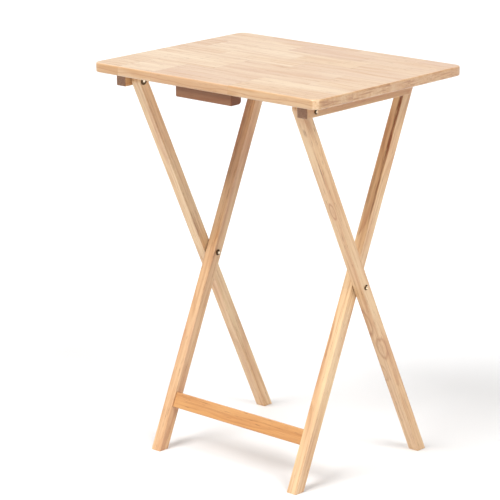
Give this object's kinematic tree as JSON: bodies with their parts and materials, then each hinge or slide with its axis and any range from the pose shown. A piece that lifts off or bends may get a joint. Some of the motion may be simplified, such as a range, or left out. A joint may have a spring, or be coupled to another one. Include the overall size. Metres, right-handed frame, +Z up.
{
  "type": "folding tray table",
  "caption": "Wooden folding tray table: rectangular top hinged on crossed legs that fold flat, with a top rail and latch block that hold it open.",
  "frame": {"origin": "on the floor, under the centre of the table top", "axes": "+X to the right along the top's long side, +Y to the back, +Z up"},
  "size_m": [0.48, 0.36, 0.658],
  "materials": {
    "top_wood": "clear satin lacquer",
    "leg_wood": "clear satin lacquer",
    "dowel_wood": "raw",
    "bolt_steel": "polished zinc plate",
    "screw_steel": "zinc plate"
  },
  "bodies": {
    "hinge_bolts": {"pivot_bolt_left": "bolt_steel", "pivot_bolt_right": "bolt_steel", "pivot_washer_left": "bolt_steel", "pivot_washer_right": "bolt_steel", "pivot_nut_left": "bolt_steel", "pivot_nut_right": "bolt_steel"},
    "top": {"tabletop": "top_wood", "cleat_left": "leg_wood", "cleat_right": "leg_wood", "cleat_screws": "screw_steel", "front_catch_block": "leg_wood", "front_catch_screws": "screw_steel", "rear_latch_block": "leg_wood", "rear_latch_screws": "screw_steel"},
    "outer_legs": {"outer_leg_left": "leg_wood", "outer_leg_right": "leg_wood", "cross_bolt_left": "bolt_steel", "cross_bolt_right": "bolt_steel", "cross_washer_left": "bolt_steel", "cross_washer_right": "bolt_steel", "cross_nut_left": "bolt_steel", "cross_nut_right": "bolt_steel"},
    "inner_frame": {"inner_leg_left": "leg_wood", "inner_leg_right": "leg_wood", "lower_stretcher": "leg_wood", "stretcher_dowels": "dowel_wood", "top_rail": "leg_wood", "rail_dowels": "dowel_wood"}
  },
  "joints": [
    {"name": "top_lift", "type": "hinge", "parent": "hinge_bolts", "child": "top", "pos_m": [0, -0.139, 0.63], "axis": [1, 0, 0], "range_deg": [0, 90]},
    {"name": "leg_swing", "type": "hinge", "parent": "hinge_bolts", "child": "outer_legs", "pos_m": [0, -0.139, 0.63], "axis": [1, 0, 0], "range_deg": [-24.36, 0]},
    {"name": "leg_fold", "type": "hinge", "parent": "outer_legs", "child": "inner_frame", "pos_m": [0, 0.0073, 0.31601], "axis": [1, 0, 0], "range_deg": [0, 48.7]}
  ],
  "couplings": [
    {"joint": "leg_swing", "follows": "leg_fold", "ratio": -0.5}
  ]
}
